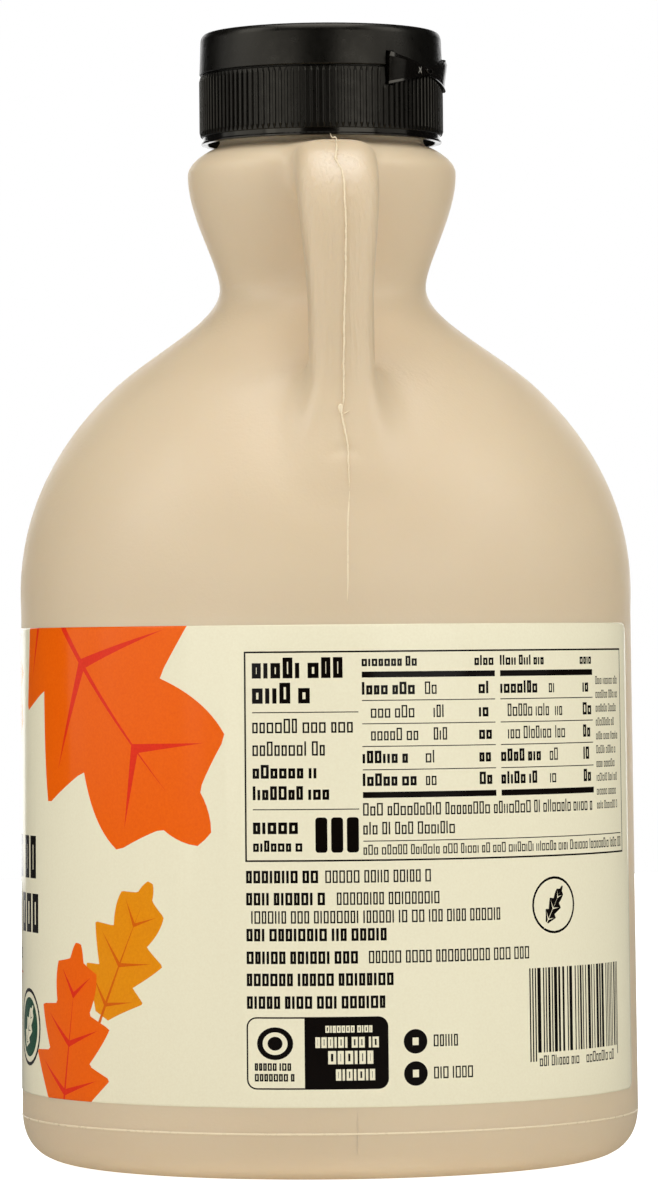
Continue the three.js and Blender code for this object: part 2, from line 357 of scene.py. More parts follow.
def settle_on_jug(p):
    """Moves points near the jug's surface onto it: straight in or out, and step by step about the handle."""
    flat = np.stack([np.hypot(p[:, 0], p[:, 1]), p[:, 2]], 1)
    foot, _ = nearest_on(OUTLINE, flat)
    scale = foot[:, 0] / np.maximum(flat[:, 0], 1e-6)
    settled = np.stack([p[:, 0] * scale, p[:, 1] * scale, foot[:, 1]], 1)
    by_handle = (p[:, 1] < -8) & (np.abs(p[:, 0]) < 18) & (p[:, 2] > 100) & (p[:, 2] < NECK_TOP_Z)
    near, tiny = p[by_handle], 0.01
    for _ in range(3):
        gap = jug_distance(near)
        slope = np.stack([(jug_distance(near + tiny * axis) - gap) / tiny for axis in np.eye(3)], 1)
        near = near - slope * (gap / np.maximum((slope ** 2).sum(1), 0.3))[:, None]
    settled[by_handle] = near
    return settled


def relaxed(p, edges, strength):
    """Each point moved towards the middle of its neighbours."""
    total, count = np.zeros_like(p), np.zeros(len(p))
    for a, b in ((0, 1), (1, 0)):
        for i in range(3):
            total[:, i] += np.bincount(edges[:, a], p[edges[:, b], i], len(p))
        count += np.bincount(edges[:, a], minlength=len(p))
    return mix(p, total / np.maximum(count, 1)[:, None], strength)


def rough_handle():
    """A plain closed tube along the handle's route."""
    path = resample(handle_route(), 2.0)
    way = np.gradient(path, axis=0)
    way /= np.linalg.norm(way, axis=1)[:, None]
    sides, verts = 24, []
    for (reach, z), (dr, dz) in zip(path, way):
        for k in range(sides):
            turn = 2 * math.pi * k / sides
            out = HANDLE_THICKNESS / 2 * math.sin(turn)
            x = float(handle_half_width(z)) * math.cos(turn)
            verts.append((x, -(reach + out * dz), z - out * dr))
    return clean(new_object("rough_handle", verts, tube_faces(len(path), sides)))


def make_jug_body():
    """One closed skin of even quads, laid exactly on the jug's surface."""
    body = lathe("jug_body", resample(jug_outline(), 3.0), 96)
    rough = rough_handle()
    bm = bmesh.new()
    bm.from_mesh(body.data)
    bm.from_mesh(rough.data)
    bm.to_mesh(body.data)
    bm.free()
    bpy.data.objects.remove(rough)
    remesh = body.modifiers.new("skin", "REMESH")
    remesh.mode = "VOXEL"
    remesh.voxel_size = SKIN_VOXEL * MM
    baked(body)
    mesh = body.data
    points = np.empty(len(mesh.vertices) * 3)
    mesh.vertices.foreach_get("co", points)
    edges = np.empty(len(mesh.edges) * 2, int)
    mesh.edges.foreach_get("vertices", edges)
    points, edges = points.reshape(-1, 3) / MM, edges.reshape(-1, 2)
    points = settle_on_jug(points)
    for _ in range(3):
        points = settle_on_jug(relaxed(points, edges, 0.6))
    mesh.vertices.foreach_set("co", (dented(points) * MM).ravel())
    mesh.update()
    mesh.shade_smooth()
    return body


def dented(p):
    """The small crescent dent in the shoulder under the handle's foot."""
    x = p[:, 0] - DENT_X
    bow = p[:, 2] - DENT_Z + DENT_BOW * x ** 2
    depth = DENT_DEPTH * np.exp(-(x / DENT_HALF_WIDTH) ** 4 - (bow / DENT_HALF_HEIGHT) ** 2) * (p[:, 1] < 0)
    return p + depth[:, None] * np.array(DENT_PUSH)


def on_skin(body, start, toward):
    """Where a ray from start, in millimetres, first meets the body, with the normal there."""
    direction = (toward - start).normalized()
    hit, spot, normal, _ = body.ray_cast(start * MM, direction)
    if not hit:
        raise RuntimeError("a mould line ran off the jug")
    return spot / MM, normal


def bead_on_skin(name, body, points, half_width, height, side=-1, swell=None):
    """A bead through (x, z) points, laid on the jug from the handle's side, or from behind with side 1."""
    path, normals = [], []
    for x, z in points:
        start = Vector((x, 90.0 * side, z))
        spot, normal = on_skin(body, start, start - Vector((0, 90.0 * side, 0)))
        path.append(spot)
        normals.append(normal)
    return tube(name, path, normals, half_width, height, swell=swell)


# Mould lines. A route is a few (height, x) points down the middle of the handle, read off the photograph.

FLASH_ROUTE = (
    (167.2, -0.02), (165.5, -0.12), (163.9, -0.48), (162.7, -0.05), (162.1, 0.35),
    (160.2, 0.62), (151.0, 0.68), (141.0, 0.26), (124.9, -0.23), (122.9, -0.45),
)
TAIL_ROUTE = ((123.2, -0.7), (120.1, -0.3), (117.2, 0.25), (109.9, 0.25))
SEAM_ROUTE = ((109.9, 0.25), (105.3, -0.14), (98.9, -0.3), (92.0, -0.5))
FLASH_WIDE_Z, FLASH_FLAT_Z = 163.6, 161.8


def along_route(route, step, rng, wander):
    """(x, height) points along a route, with a slow unsteadiness."""
    heights = np.arange(route[0][0], route[-1][0], -step)
    x = np.interp(-heights, [-z for z, _ in route], [x for _, x in route])
    drift, points = 0.0, []
    for i, z in enumerate(heights):
        drift = 0.8 * drift + rng.uniform(-wander, wander)
        points.append((float(x[i]) + drift, float(z)))
    return points


def make_handle_flash(body, rng):
    """The trimmed seam of the mould down the handle's middle: ragged, raised, widest at the top and nearly
    flat through the torn patch under it."""
    points = along_route(FLASH_ROUTE, 0.4, rng, 0.035)
    fullness = [1.35 if z > FLASH_WIDE_Z else 0.6 if z > FLASH_FLAT_Z else 1.0 for _, z in points]
    ragged = [rng.uniform(0.85, 1.15) * full for full in fullness]
    swell = [(ragged[max(i - 1, 0)] + ragged[i]) / 2 for i in range(len(ragged))]
    return bead_on_skin("handle_flash", body, points, 0.16, 0.4, swell=swell)


def make_tail_flash(body, rng):
    """The thin end of the flash on the shoulder."""
    points = along_route(TAIL_ROUTE, 0.35, rng, 0.04)
    swell = [mix(1.1, 0.5, i / len(points)) * rng.uniform(0.8, 1.1) for i in range(len(points))]
    return bead_on_skin("tail_flash", body, points, 0.18, 0.38, swell=swell)


def make_seam(name, body, x, heights, side, half_width, height):
    """A fine mould line up the jug in a plane of constant x."""
    return bead_on_skin(name, body, [(x, float(z)) for z in heights], half_width, height, side)


def make_flash_scrap(body):
    """The torn scrap of flash at the handle's foot, with a hair that runs off it to the right."""
    start = Vector((-0.72, -90.0, 123.15))
    spot, normal = on_skin(body, start, start + Vector((0, 90, 0)))
    bm = bmesh.new()
    bmesh.ops.create_icosphere(bm, subdivisions=4, radius=1.0)
    for v in bm.verts:
        x, y, z = (math.copysign(abs(c) ** 0.8, c) for c in v.co)
        v.co = Vector((0.38 * x * (1 + 0.22 * math.sin(3.4 * z)) - 0.1 * z, 0.3 * y, 0.76 * z + 0.1 * x))
        v.co = (v.co + spot + normal * 0.08) * MM
    scrap = from_bmesh("flash_scrap", bm)
    scrap.data.shade_smooth()
    rising = [(-0.52 + 0.155 * i, 122.25 + 0.05 * i + 0.004 * i * i) for i in range(9)]
    return scrap, bead_on_skin("flash_hair", body, rising, 0.12, 0.26)


def make_top_curl():
    """The loose curl at the upper end of the flash, where the knife left the handle's top."""
    points = ((-0.95, -30.6, 168.4), (-0.8, -30.9, 167.9), (-0.55, -31.0, 167.6), (-0.2, -30.9, 167.75),
              (0.0, -31.0, 167.6), (0.05, -31.2, 167.2), (0.05, -31.5, 166.9))
    path = [Vector(point) for point in points]
    return tube("flash_curl", path, [Vector((0, -1, 0))] * len(path), 0.14, 0.14)


def make_foot_line():
    """The raised ring where the base insert of the mould met its sides."""
    steps = 180
    rise = math.sqrt(FOOT_LINE_Z / FOOT_CORNER_Z)
    r = mix(RING_R, FOOT_R, rise * (2 - rise))
    path = [polar(r, 360 * k / steps, FOOT_LINE_Z) for k in range(steps)]
    normals = [polar(1, 360 * k / steps, 0) for k in range(steps)]
    return tube("foot_line", path, normals, 0.16, 0.1, closed=True)


# Label print. A shape is a list of (u, v) points and the ink that fills it. Later shapes cover earlier ones.

INKS = ("stock", "orange", "red", "amber", "amber_vein", "ink", "green")
BAR_SHARE, TALL_SHARE, LOW_LETTER = 0.22, 0.3, 0.74


def rectangle(u0, v0, u1, v1, ink="ink"):
    return [(u0, v0), (u1, v0), (u1, v1), (u0, v1)], ink


def rounded(u0, v0, u1, v1, radius, ink, steps=5):
    points = []
    for cu, cv, start in ((u1 - radius, v1 - radius, 0), (u0 + radius, v1 - radius, 90),
                          (u0 + radius, v0 + radius, 180), (u1 - radius, v0 + radius, 270)):
        for i in range(steps + 1):
            a = math.radians(start + 90 * i / steps)
            points.append((cu + radius * math.cos(a), cv + radius * math.sin(a)))
    return points, ink


def ellipse(u, v, half_u, half_v, ink, steps=28):
    turns = [2 * math.pi * k / steps for k in range(steps)]
    return [(u + half_u * math.cos(t), v + half_v * math.sin(t)) for t in turns], ink


def frame_lines(u0, v0, u1, v1, line):
    """A box drawn with lines of one thickness."""
    return [
        rectangle(u0, v0, u1, v0 + line),
        rectangle(u0, v1 - line, u1, v1),
        rectangle(u0, v0 + line, u0 + line, v1 - line),
        rectangle(u1 - line, v0 + line, u1, v1 - line),
    ]


def words(rng, u0, u1, v, cap, bold=False, capitals=False, ink="ink", paper="stock"):
    """A line of greeked print from u0 to about u1. Each letter is a plain bar or a hollow block."""
    stroke = cap * (0.21 if bold else 0.12)
    width = cap * (0.52 if bold else 0.42)
    shapes, u, left = [], u0, rng.randint(3, 8)
    while u + width * 1.15 <= u1:
        if not left:
            u += 0.26 * cap
            left = rng.randint(2, 9)
            continue
        left -= 1
        top = v + cap * (1.0 if capitals or rng.random() < TALL_SHARE else LOW_LETTER)
        if rng.random() < BAR_SHARE:
            shapes.append(rectangle(u, v, u + stroke, top, ink))
            u += stroke + 0.14 * cap
            continue
        end = u + width * rng.uniform(0.85, 1.15)
        shapes.append(rectangle(u, v, end, top, ink))
        shapes.append(rectangle(u + stroke, v + stroke, end - stroke, top - stroke, paper))
        u = end + 0.12 * cap
    return shapes


def leaf(base, tip, half_width, ink, vein_ink, lobes=4, vein=1.0):
    """A leaf with pointed lobes and tapered veins, from its base to its tip."""
    base, tip = np.array(base, float), np.array(tip, float)
    axis = tip - base
    side = np.array([-axis[1], axis[0]]) / np.linalg.norm(axis) * half_width

    def at(t, across):
        return tuple(base + axis * t + side * across)

    def edge(t):
        tooth = (t * (lobes + 0.35)) % 1.0
        point = 1 - abs(tooth - 0.7) / (0.7 if tooth < 0.7 else 0.3)
        body = math.sin(math.pi * min(1.0, 0.06 + 0.94 * t) ** 0.85) ** 0.75
        return max(0.015, body * (0.52 + 0.48 * point)), 0.035 * point

    steps = [i / 60 for i in range(61)]
    left = [at(t + edge(t)[1], edge(t)[0]) for t in steps[:-1]]
    right = [at(t + edge(t)[1], -edge(t)[0]) for t in steps[:-1]]
    shapes = [(right + [at(1.0, 0)] + left[::-1], ink)]
    root = 0.05 * vein
    shapes.append(([at(-0.16, -root), at(0.84, 0), at(-0.16, root)], vein_ink))
    for i in range(lobes):
        start = (i + 0.28) / (lobes + 0.35)
        end = (i + 0.62) / (lobes + 0.35) + 0.03
        reach = 0.74 * edge((i + 0.68) / (lobes + 0.35))[0]
        thick = 0.02 * vein
        for sign in (-1, 1):
            rib = [at(start - thick, 0), at(end, sign * reach), at(start + thick, 0)]
            shapes.append((rib, vein_ink))
    return shapes


def facts_table(rng):
    """A panel of figures: a box, rules, heavy bars and rows of greeked words."""
    left, bottom, right, top = -17.2, 39.0, 59.2, 72.4
    a0, a1, b0, b1, c0, c1 = -15.9, 1.1, 1.7, 24.5, 25.5, 47.7
    shapes = frame_lines(left, bottom, right, top, 0.28)
    shapes += words(rng, a0, a1, 68.1, 3.3, bold=True)
    shapes += words(rng, a0, -5.0, 64.1, 3.3, bold=True)
    shapes += words(rng, a0, a1, 59.4, 2.3)
    shapes += words(rng, a0, -3.2, 55.8, 2.3)
    shapes += words(rng, a0, -4.3, 52.2, 2.2, bold=True)
    shapes += words(rng, a0, -2.2, 48.8, 2.2, bold=True)
    shapes += words(rng, a0, -7.4, 43.4, 2.5, bold=True)
    shapes += words(rng, a0, -7.4, 40.6, 1.8, bold=True)
    for v in (62.6, 47.2):
        shapes.append(rectangle(a0, v, a1, v + 0.16))
    for i in range(3):
        shapes.append(rounded(-5.9 + 2.5 * i, 40.4, -4.0 + 2.5 * i, 46.0, 0.5, "ink"))
    for u0, u1 in ((b0, b1), (c0, c1)):
        shapes += words(rng, u0, u0 + 9.5, 69.9, 1.6, bold=True)
        shapes += words(rng, u1 - 3.8, u1, 69.9, 1.6, bold=True)
        for v in (68.1, 49.0):
            shapes.append(rectangle(u0, v, u1, v + 0.95))
        for v in (64.4, 60.7, 57.1, 53.4):
            shapes.append(rectangle(u0, v, u1, v + 0.15))
        for row, v in enumerate((65.4, 61.7, 58.1, 54.5, 50.9)):
            inset = 1.4 if row in (1, 2) else 0
            bold = row in (0, 3, 4)
            shapes += words(rng, u0 + inset, u0 + inset + rng.uniform(7.5, 9.5), v, 2.0, bold=bold)
            shapes += words(rng, u0 + inset + 10.3, u0 + inset + 12.8, v, 2.0)
            shapes += words(rng, u1 - 3.1, u1, v, 2.0, bold=True)
    shapes += words(rng, b0, c1, 46.2, 2.0)
    shapes += words(rng, b0, 17.0, 43.2, 2.0)
    shapes.append(rectangle(b0, 42.1, right - 0.9, 42.25))
    shapes += words(rng, b0, right - 0.8, 40.0, 1.6)
    for i in range(10):
        shapes += words(rng, 48.7, 48.7 + rng.uniform(7.6, 9.2), 66.6 - 2.25 * i, 1.3)
    return shapes


def address_lines(rng):
    """The seven lines under the panel: a bold start, then plain capitals."""
    left, cap = -17.1, 2.0
    shapes = []
    lines = ((35.6, -5.2, 13.3), (32.1, -3.4, 15.6), (29.2, left, 25.6), (26.4, 6.9, 6.9), (22.8, 1.6, 31.4),
             (19.3, 7.2, 7.2), (15.7, 6.2, 6.2))
    for v, bold_end, end in lines:
        if bold_end > left:
            shapes += words(rng, left, bold_end, v, cap, bold=True, capitals=True)
        if end > bold_end:
            shapes += words(rng, bold_end + 0.8, end, v, cap, capitals=True)
    return shapes


def badge(rng):
    """A two-tone badge: a disc on the light half, words on the dark half."""
    u0, v0, u1, v1, middle = -17.2, 2.9, 5.4, 14.4, -7.9
    line, corner = 0.25, 1.6
    shapes = [
        rounded(u0, v0, u1, v1, corner, "ink"),
        rounded(u0 + line, v0 + line, middle, v1 - line, corner - line, "stock"),
        rectangle(middle - corner, v0 + line, middle, v1 - line, "stock"),
    ]
    shapes.append(ellipse(-12.6, 10.2, 2.9, 2.6, "ink"))
    shapes.append(ellipse(-12.6, 10.2, 2.0, 1.8, "stock"))
    shapes.append(ellipse(-12.6, 10.2, 1.2, 1.1, "ink"))
    for v in (5.9, 4.2):
        shapes += words(rng, -15.9, -9.3, v, 1.2, bold=True, capitals=True)
    for v, cap, start in ((11.9, 1.1, -4.6), (9.5, 1.7, -6.2), (6.9, 2.1, -4.2), (4.3, 1.8, -3.0)):
        shapes += words(rng, start, 3.9, v, cap, bold=True, capitals=True, ink="stock", paper="ink")
    return shapes


def bar_code(rng):
    """A row of plain bars of mixed widths, with small blocks under it. It codes nothing."""
    left, right, bottom, top = 30.6, 56.2, 7.6, 21.2
    shapes, u = [], left
    while u < right - 0.5:
        width = rng.choice((0.28, 0.28, 0.5, 0.75))
        guard = u < left + 1.2 or u > right - 1.6
        shapes.append(rectangle(u, bottom - (1.4 if guard else 0), min(u + width, right), top))
        u += width + rng.choice((0.26, 0.3, 0.5, 0.7))
    shapes += words(rng, left + 2.0, left + 11.6, 5.4, 1.7)
    shapes += words(rng, left + 13.6, right - 2.0, 5.4, 1.7)
    return shapes


def small_marks(rng):
    """Two dots with a word each, and a ring with a small leaf."""
    shapes = []
    for v, end in ((10.3, 17.8), (5.2, 20.2)):
        shapes.append(ellipse(9.8, v, 1.95, 1.95, "ink"))
        shapes.append(rectangle(9.3, v - 0.6, 10.3, v + 0.6, "stock"))
        shapes += words(rng, 12.8, end, v - 0.9, 1.9, capitals=True)
    shapes += [ellipse(36.4, 31.2, 5.0, 4.6, "ink"), ellipse(36.4, 31.2, 4.6, 4.2, "stock")]
    shapes += leaf((34.6, 28.4), (38.4, 34.2), 1.6, "ink", "stock", lobes=3)
    return shapes


def front_panel(rng):
    """The panel opposite the gap: two large greeked lines with smaller ones, two leaves and a seal."""
    centre = 2 * LABEL_GAP_CENTRE - 270
    mid = math.radians(centre) * LABEL_ROLL_R
    shapes = leaf((mid - 22, 80), (mid - 16, 44), 13.5, "orange", "red")
    shapes += leaf((mid - 6, 79), (mid + 2, 56), 8.0, "amber", "amber_vein", lobes=3)
    shapes += words(rng, mid - 24, mid + 17.5, 35.5, 7.0, bold=True, capitals=True)
    shapes += words(rng, mid - 24, mid + 17.5, 26.6, 6.4, bold=True, capitals=True)
    shapes += words(rng, mid - 24, mid + 4, 22.0, 2.4)
    shapes.append(rectangle(mid - 24, 19.6, mid + 4, 19.9, "orange"))
    shapes += words(rng, mid - 24, mid - 2, 5.2, 2.6, bold=True, capitals=True)
    shapes += words(rng, mid - 24, mid, 10.0, 1.8)
    u, v = mid + 10.0, 11.0
    shapes += [ellipse(u, v, r, r, ink) for r, ink in ((6.4, "ink"), (5.8, "stock"), (4.9, "green"))]
    shapes += leaf((u - 2.4, v - 3.2), (u + 2.4, v + 3.6), 2.1, "stock", "green", lobes=3)
    return shapes


def side_panel(rng):
    """The panel turned away from the handle: a paragraph, four grade dots and two leaves."""
    mid = -math.pi * LABEL_ROLL_R
    shapes = leaf((mid + 34, 82), (mid + 20, 50), 12.0, "orange", "red")
    shapes += leaf((mid + 30, 6), (mid + 18, 26), 7.0, "amber", "amber_vein", lobes=3)
    shapes += leaf((mid - 40, -6), (mid - 33, 26), 11.0, "orange", "red")
    shapes += words(rng, mid - 24, mid + 6, 64.5, 4.0, bold=True)
    shapes.append(rectangle(mid - 24, 62.3, mid + 8, 62.6, "orange"))
    for i in range(9):
        shapes += words(rng, mid - 24, mid + rng.uniform(4, 11), 57.5 - 3.2 * i, 1.9)
    for i, ink in enumerate(("amber", "amber", "orange", "red")):
        shapes.append(ellipse(mid - 21 + 8.5 * i, 22.5, 3.0, 3.0, ink))
        shapes.append(ellipse(mid - 21 + 8.5 * i, 22.5, 2.1 - 0.4 * i, 2.1 - 0.4 * i, "stock"))
        shapes += words(rng, mid - 23.6 + 8.5 * i, mid - 18.4 + 8.5 * i, 16.4, 1.6)
    shapes += words(rng, mid - 24, mid + 9, 9.0, 1.9)
    shapes += words(rng, mid - 24, mid + 2, 5.6, 1.9)
    return shapes


def side_leaves():
    """The leaves between the front panel and the handle: a large, a small and a low one."""
    shapes = leaf((-65.0, 88.0), (-24.0, 42.5), 24.0, "orange", "red", lobes=3, vein=0.8)
    shapes += leaf((-44.6, 14.0), (-34.0, 35.6), 8.2, "amber", "amber_vein", lobes=3, vein=0.8)
    shapes += leaf((-56.5, -9.0), (-50.5, 25.5), 11.5, "orange", "red", vein=0.8)
    return shapes


def label_outline():
    end = math.radians(LABEL_END_ANGLE) * LABEL_ROLL_R
    start = math.radians(2 * LABEL_GAP_CENTRE - LABEL_END_ANGLE - 360) * LABEL_ROLL_R
    points, _ = rounded(start, 0, end, LABEL_HEIGHT, LABEL_CORNER, "stock", steps=8)
    return points, start, end


def anticlockwise(ring):
    turn = sum(a[0] * b[1] - b[0] * a[1] for a, b in zip(ring, ring[1:] + ring[:1]))
    return ring if turn > 0 else ring[::-1]


def make_label():
    """The label as one thin closed sheet, cut along every printed edge, so each ink has its own faces."""
    rng = random.Random(7)
    outline, start, end = label_outline()
    inner = rounded(start + LABEL_EDGE, LABEL_EDGE, end - LABEL_EDGE, LABEL_HEIGHT - LABEL_EDGE,
                    LABEL_CORNER - LABEL_EDGE, "stock", steps=8)
    shapes = [(outline, "stock"), inner] + side_leaves()
    for panel in (facts_table, address_lines, badge, bar_code, small_marks, front_panel, side_panel):
        shapes += panel(rng)
    points, rings = [], []
    for ring, _ in shapes:
        rings.append(list(range(len(points), len(points) + len(ring))))
        points += [Vector(p) for p in anticlockwise(ring)]
    edges = []
    columns = int((end - start) / 1.9)
    for k in range(1, columns):
        u = mix(start, end, k / columns)
        edges.append((len(points), len(points) + 1))
        points += [Vector((u, 0.0)), Vector((u, LABEL_HEIGHT))]
    flat, _, triangles, _, _, owners = delaunay_2d_cdt(points, edges, rings, 0, 1e-5)
    faces, inks = [], []
    for triangle, owner in zip(triangles, owners):
        if 0 not in owner:
            continue
        faces.append(triangle)
        inks.append(INKS.index(shapes[max(owner)][1]))
    return label_sheet(flat, faces, inks, start, end)


def label_sheet(flat, faces, inks, start, end):
    """Rolls flat faces onto the wall and closes them into a thin sheet whose rim is pressed down."""
    used = sorted({i for face in faces for i in face})
    order = {i: k for k, i in enumerate(used)}
    faces = [tuple(order[i] for i in face) for face in faces]
    verts = []
    for outside in (True, False):
        for i in used:
            u, v = flat[i]
            inset = min(u - start, end - u, v, LABEL_HEIGHT - v)
            fall = LABEL_EDGE_FALL * max(0.0, 1 - inset / LABEL_EDGE)
            z = LABEL_BOTTOM_Z + v
            proud = LABEL_PROUD - fall if outside else -LABEL_SUNK
            verts.append(polar(wall_radius(z) + proud, math.degrees(u / LABEL_ROLL_R), z))
    shift = len(used)
    sides = {side: None for face in faces for side in zip(face, face[1:] + face[:1])}
    rim = [(a, b) for a, b in sides if (b, a) not in sides]
    count = len(faces)
    faces += [tuple(i + shift for i in reversed(face)) for face in faces]
    faces += [(b, a, a + shift, b + shift) for a, b in rim]
    inks = inks + [0] * (len(faces) - count)
    label = new_object("label_sheet", verts, faces)
    label.data.polygons.foreach_set("material_index", inks)
    label.data.polygons.foreach_set("use_smooth", [i < 2 * count for i in range(len(faces))])
    return label


# Closure

def make_lid():
    """Lid of the closure: a slightly tapered side, a rounded edge and a flat top."""
    low = SHUT_LINE_Z + SHUT_LINE_HALF
    edge = quadratic((LID_TOP_R, LID_TOP_Z - LID_EDGE), (LID_TOP_R - 0.1, LID_TOP_Z),
                     (LID_TOP_R - LID_EDGE, LID_TOP_Z), 10)
    outline = [
        (0, low - 0.5), (SHUT_LINE_R, low - 0.5), (SHUT_LINE_R, low), (LID_R - 0.12, low),
        (LID_R, low + 0.12), (LID_TOP_R, LID_TOP_Z - LID_EDGE), *map(tuple, edge),
        (LID_TOP_R - 4, LID_TOP_Z - 0.06), (0, LID_TOP_Z - 0.1),
    ]
    return lathe("closure_lid", outline, 256, sharp=30)


def make_lip():
    """Bottom of the closure: a plain band, a lip that flares out of it and the hollow round the neck."""
    outline = [
        (0, CAVITY_Z), (LIP_INNER_R, CAVITY_Z), (LIP_INNER_R, LIP_Z + 0.1), (LIP_INNER_R + 0.1, LIP_Z),
        (LIP_R - 0.08, LIP_Z), (LIP_R, LIP_Z + 0.08), (LIP_R, LIP_Z + 0.28), (BAND_R, LIP_Z + 0.5),
        (BAND_R, SKIRT_BOTTOM_Z + 0.2), (0, CAVITY_Z + 0.6),
    ]
    return lathe("closure_lip", outline, 256, sharp=30)


def make_skirt():
    """Skirt of the closure, between the lip and the shut line."""
    top = SHUT_LINE_Z - SHUT_LINE_HALF
    outline = [
        (0, CAVITY_Z + 0.4), (BAND_R - 0.2, SKIRT_BOTTOM_Z), (SKIRT_R - 0.1, SKIRT_BOTTOM_Z),
        (SKIRT_R, SKIRT_BOTTOM_Z + 0.1), (SKIRT_R, top - 0.1), (SKIRT_R - 0.1, top),
        (SHUT_LINE_R, top), (SHUT_LINE_R, top + 0.2), (0, top + 0.2),
    ]
    return lathe("closure_skirt", outline, 256, sharp=30)


def arc_block(r0, r1, a0, a1, z0, z1, steps=6):
    """A closed block between two radii, two angles and two heights, to cut with."""
    verts = []
    for i in range(steps + 1):
        a = mix(a0, a1, i / steps)
        verts += [polar(r, a, z) for r, z in ((r0, z0), (r1, z0), (r1, z1), (r0, z1))]
    return clean(new_object("cutter", verts, tube_faces(steps + 1, 4)), 30)


def cut_hinge_slots(piece):
    """Cuts the slots at the free ends of the hinge's wings."""
    for side in (-1, 1):
        near, far = HINGE_ANGLE + side * (HINGE_SPREAD - 4), HINGE_ANGLE + side * (HINGE_SPREAD + 0.5)
        cutter = arc_block(SHUT_LINE_R - 0.4, LID_R + 1.5, min(near, far), max(near, far),
                           HINGE_Z - HINGE_END_HALF - 0.1, HINGE_Z + HINGE_END_HALF + 0.1)
        boolean_cut(piece, cutter)
    return piece


def cut_thumb_scallop(piece):
    """Cuts the hollow in the skirt that lets a thumb under the lid."""
    bm = bmesh.new()
    bmesh.ops.create_uvsphere(bm, u_segments=48, v_segments=24, radius=1.0)
    centre = polar(THUMB_R, THUMB_ANGLE, THUMB_Z)
    turn = Quaternion((0, 0, 1), math.radians(THUMB_ANGLE))
    for v in bm.verts:
        v.co = centre + turn @ Vector([c * half for c, half in zip(v.co, THUMB_HALF_SIZE)])
        v.co *= MM
    return boolean_cut(piece, from_bmesh("cutter", bm))


def hinge_half(offset):
    """Half the hinge's height at an angle from its middle."""
    reach = math.hypot(offset, HINGE_SOFTNESS) - HINGE_SOFTNESS
    full = math.hypot(HINGE_SPREAD, HINGE_SOFTNESS) - HINGE_SOFTNESS
    return mix(HINGE_WAIST_HALF, HINGE_END_HALF, reach / full)


# Section of a wing from its lower edge to its upper edge, as shares of its half height and of its rise
HINGE_PROFILE = ((-1, 0), (-1, 0.6), (-0.97, 0.68), (-0.8, 0.5), (0.7, 1), (0.97, 0.76), (1, 0.55), (1, 0))


def make_hinge():
    """The bow-tie hinge: two wings with bevelled edges and hollow free ends, and a narrow waist between."""
    columns, back_r = 60, SHUT_LINE_R - 0.2
    rows = len(HINGE_PROFILE) - 1
    front, back = [], []
    for i in range(columns + 1):
        offset = mix(-HINGE_SPREAD, HINGE_SPREAD, i / columns)
        s = abs(offset) / HINGE_SPREAD
        for t, rise in HINGE_PROFILE:
            inward = (2.2 * (1 - t * t) - 0.7 * (1 + t)) * s ** 8
            angle = HINGE_ANGLE + offset - math.copysign(inward, offset)
            crown = rise * mix(0.45, 1.05, s ** 1.2) - 0.14 * s ** 30
            z = HINGE_Z + t * hinge_half(offset)
            front.append(polar(LID_R - 0.12 + crown, angle, z))
            back.append(polar(back_r, angle, z))
    verts = front + back
    shift = len(front)
    faces, rim = [], []
    for i in range(columns):
        for k in range(rows):
            a = i * (rows + 1) + k
            face = (a, a + rows + 1, a + rows + 2, a + 1)
            faces += [face, tuple(j + shift for j in reversed(face))]
    rim += [i * (rows + 1) for i in range(columns + 1)]
    rim += [columns * (rows + 1) + k for k in range(1, rows + 1)]
    rim += [i * (rows + 1) + rows for i in range(columns - 1, -1, -1)]
    rim += [k for k in range(rows - 1, 0, -1)]
    for a, b in zip(rim, rim[1:] + rim[:1]):
        faces.append((a, b, b + shift, a + shift))
    return clean(new_object("closure_hinge", verts, faces), 9)


def make_hinge_cross():
    """Two short crossed ridges beside the waist, where the edges of the wings meet."""
    pieces = []
    normals = [polar(1, HINGE_CROSS_ANGLE, 0)] * 7
    for name, lean in (("hinge_cross_up", 1), ("hinge_cross_down", -1)):
        steps = range(-3, 4)
        path = [polar(LID_R + 0.4, HINGE_CROSS_ANGLE + 0.42 * k * lean, HINGE_Z + 0.2 * k) for k in steps]
        pieces.append(tube(name, path, normals, 0.14, 0.22))
    return pieces


def make_hinge_ring():
    """The small raised loop at the hinge's waist."""
    steps = 28
    path, normals = [], []
    for k in range(steps):
        turn = 2 * math.pi * k / steps
        angle = HINGE_ANGLE + 2.6 * math.cos(turn)
        path.append(polar(LID_R + 0.4, angle, HINGE_Z + 0.36 * math.sin(turn)))
        normals.append(polar(1, angle, 0))
    return tube("hinge_ring", path, normals, 0.1, 0.18, closed=True)


# Grip ribs, by Geometry Nodes. The last share of a rib's half length rounds off by a share of its section.

RIB_END, RIB_END_BITE = 0.07, 0.85


def add_node(tree, kind, **settings):
    node = tree.nodes.new(kind)
    for key, value in settings.items():
        setattr(node, key, value)
    return node


def feed(tree, node, *values, **named):
    """Gives a node its inputs, in order or by name, as values or as sockets to wire. _ stands for a space.
    Returns the node."""
    inputs = list(zip(node.inputs, values))
    inputs += [(node.inputs[name.replace("_", " ")], value) for name, value in named.items()]
    for socket, value in inputs:
        if isinstance(value, bpy.types.NodeSocket):
            tree.links.new(value, socket)
        else:
            socket.default_value = value
    return node


def calc(tree, operation, *values):
    """The result of a Math node on sockets or numbers."""
    return feed(tree, add_node(tree, "ShaderNodeMath", operation=operation), *values).outputs[0]


def times(tree, product, *values):
    for value in values:
        product = calc(tree, "MULTIPLY", product, value)
    return product


def combined(tree, x, y, z):
    return feed(tree, add_node(tree, "ShaderNodeCombineXYZ"), x, y, z).outputs[0]


